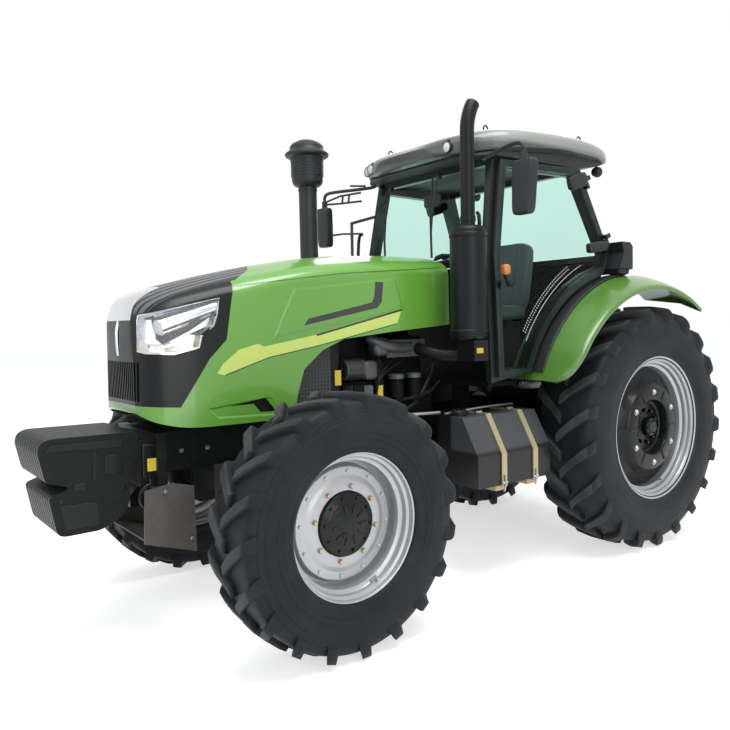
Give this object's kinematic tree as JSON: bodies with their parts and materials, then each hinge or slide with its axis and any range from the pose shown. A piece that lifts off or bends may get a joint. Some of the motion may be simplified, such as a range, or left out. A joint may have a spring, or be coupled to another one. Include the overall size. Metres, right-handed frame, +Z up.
{
  "type": "farm tractor",
  "caption": "Four-wheel-drive farm tractor with a closed cab, a sloping one-piece hood that tilts, steered front wheels, hanging front ballast and a lifting rear linkage",
  "frame": {"origin": "on the ground under the middle of the whole length, on the centre plane", "axes": "+X points forward along the length, +Y points to the tractor's left, +Z points up"},
  "size_m": [5.0579, 2.22, 3.0124],
  "materials": {
    "tyre_rubber": "matte",
    "wheel_silver": "satin",
    "black_metal": "satin",
    "dark_casting": "matte",
    "grey_casting": "satin",
    "green_paint": "gloss",
    "fascia_black": "gloss",
    "chrome_trim": "polished",
    "lamp_lens": "gloss",
    "ballast_grey": "satin",
    "guard_grey": "satin",
    "cab_pane": "gloss",
    "roof_cream": "gloss",
    "seat_cloth": "matte",
    "strap_brass": "satin"
  },
  "bodies": {
    "chassis": {"transmission_case": "dark_casting", "rear_axle_housings": "dark_casting", "engine_block": "dark_casting", "engine_accessories": "grey_casting", "radiator": "black_metal", "front_axle_beam": "dark_casting", "front_frame": "black_metal", "front_guard": "guard_grey", "front_weights": "ballast_grey", "cab_frame": "black_metal", "cab_floor": "black_metal", "cab_glass": "cab_pane", "roof_lining": "fascia_black", "cab_roof": "roof_cream", "cab_controls": "black_metal", "seat": "seat_cloth", "fenders": "green_paint", "exhaust": "black_metal", "air_intake": "fascia_black", "fuel_tank": "black_metal", "tank_straps": "strap_brass", "battery_box": "black_metal", "mirrors": "fascia_black", "lamps": "lamp_lens", "drawbar": "black_metal"},
    "hood": {"hood_shell": "green_paint", "hood_fascia": "fascia_black", "hood_brow": "chrome_trim", "headlamps": "lamp_lens"},
    "door_left": {"door_left": "black_metal", "door_glass_left": "cab_pane"},
    "door_right": {"door_right": "black_metal", "door_glass_right": "cab_pane"},
    "knuckle_left": {"front_knuckle_left": "dark_casting"},
    "knuckle_right": {"front_knuckle_right": "dark_casting"},
    "front_wheel_left": {"front_tyre_left": "tyre_rubber", "front_rim_left": "wheel_silver", "front_hub_left": "black_metal"},
    "front_wheel_right": {"front_tyre_right": "tyre_rubber", "front_rim_right": "wheel_silver", "front_hub_right": "black_metal"},
    "rear_wheel_left": {"rear_tyre_left": "tyre_rubber", "rear_rim_left": "wheel_silver", "rear_disc_left": "black_metal"},
    "rear_wheel_right": {"rear_tyre_right": "tyre_rubber", "rear_rim_right": "wheel_silver", "rear_disc_right": "black_metal"},
    "tie_rod": {"tie_rod": "black_metal"},
    "lift_arms": {"lift_arms": "black_metal"},
    "lower_link_left": {"lower_link_left": "black_metal"},
    "lower_link_right": {"lower_link_right": "black_metal"},
    "lift_rod_left": {"lift_rod_left": "black_metal"},
    "lift_rod_right": {"lift_rod_right": "black_metal"}
  },
  "joints": [
    {"name": "hood_hinge", "type": "hinge", "parent": "chassis", "child": "hood", "pos_m": [0.04793, 0, 2.015], "axis": [0, -1, 0], "range_deg": [0, 50]},
    {"name": "door_hinge_left", "type": "hinge", "parent": "chassis", "child": "door_left", "pos_m": [-1.21982, 0.76718, 2.10925], "axis": [0.3927, -0.1, 0.9142], "range_deg": [0, 60]},
    {"name": "door_hinge_right", "type": "hinge", "parent": "chassis", "child": "door_right", "pos_m": [-1.21982, -0.76718, 2.10925], "axis": [-0.3927, -0.1, -0.9142], "range_deg": [0, 60]},
    {"name": "steer_left", "type": "hinge", "parent": "chassis", "child": "knuckle_left", "pos_m": [1.27793, 0.77, 0.66], "axis": [0, 0, 1], "range_deg": [-35, 35]},
    {"name": "steer_right", "type": "hinge", "parent": "chassis", "child": "knuckle_right", "pos_m": [1.27793, -0.77, 0.66], "axis": [0, 0, 1], "range_deg": [-35, 35]},
    {"name": "tie_rod_pin", "type": "hinge", "parent": "knuckle_left", "child": "tie_rod", "pos_m": [1.04793, 0.77, 0.562], "axis": [0, 0, 1], "range_deg": [-35, 35]},
    {"name": "front_wheel_spin_left", "type": "hinge", "parent": "knuckle_left", "child": "front_wheel_left", "pos_m": [1.27793, 0.915, 0.66], "axis": [0, 1, 0], "continuous": true},
    {"name": "rear_wheel_spin_left", "type": "hinge", "parent": "chassis", "child": "rear_wheel_left", "pos_m": [-1.43207, 0.796, 0.865], "axis": [0, 1, 0], "continuous": true},
    {"name": "front_wheel_spin_right", "type": "hinge", "parent": "knuckle_right", "child": "front_wheel_right", "pos_m": [1.27793, -0.915, 0.66], "axis": [0, 1, 0], "continuous": true},
    {"name": "rear_wheel_spin_right", "type": "hinge", "parent": "chassis", "child": "rear_wheel_right", "pos_m": [-1.43207, -0.796, 0.865], "axis": [0, 1, 0], "continuous": true},
    {"name": "lift_shaft", "type": "hinge", "parent": "chassis", "child": "lift_arms", "pos_m": [-1.66207, 0, 1.06], "axis": [0, 1, 0], "range_deg": [-20, 35]},
    {"name": "lower_link_pin_left", "type": "hinge", "parent": "chassis", "child": "lower_link_left", "pos_m": [-1.61207, 0.33, 0.56], "axis": [0, 1, 0], "range_deg": [-20, 35]},
    {"name": "lift_rod_pin_left", "type": "hinge", "parent": "lift_arms", "child": "lift_rod_left", "pos_m": [-1.99127, 0.352, 1.03698], "axis": [0, 1, 0], "range_deg": [-35, 20]},
    {"name": "lower_link_pin_right", "type": "hinge", "parent": "chassis", "child": "lower_link_right", "pos_m": [-1.61207, -0.33, 0.56], "axis": [0, 1, 0], "range_deg": [-20, 35]},
    {"name": "lift_rod_pin_right", "type": "hinge", "parent": "lift_arms", "child": "lift_rod_right", "pos_m": [-1.99127, -0.352, 1.03698], "axis": [0, 1, 0], "range_deg": [-35, 20]}
  ],
  "couplings": [
    {"joint": "steer_right", "follows": "steer_left", "ratio": 1},
    {"joint": "tie_rod_pin", "follows": "steer_left", "ratio": -1},
    {"joint": "lower_link_pin_left", "follows": "lift_shaft", "ratio": 1},
    {"joint": "lift_rod_pin_left", "follows": "lift_shaft", "ratio": -1},
    {"joint": "lower_link_pin_right", "follows": "lift_shaft", "ratio": 1},
    {"joint": "lift_rod_pin_right", "follows": "lift_shaft", "ratio": -1}
  ]
}
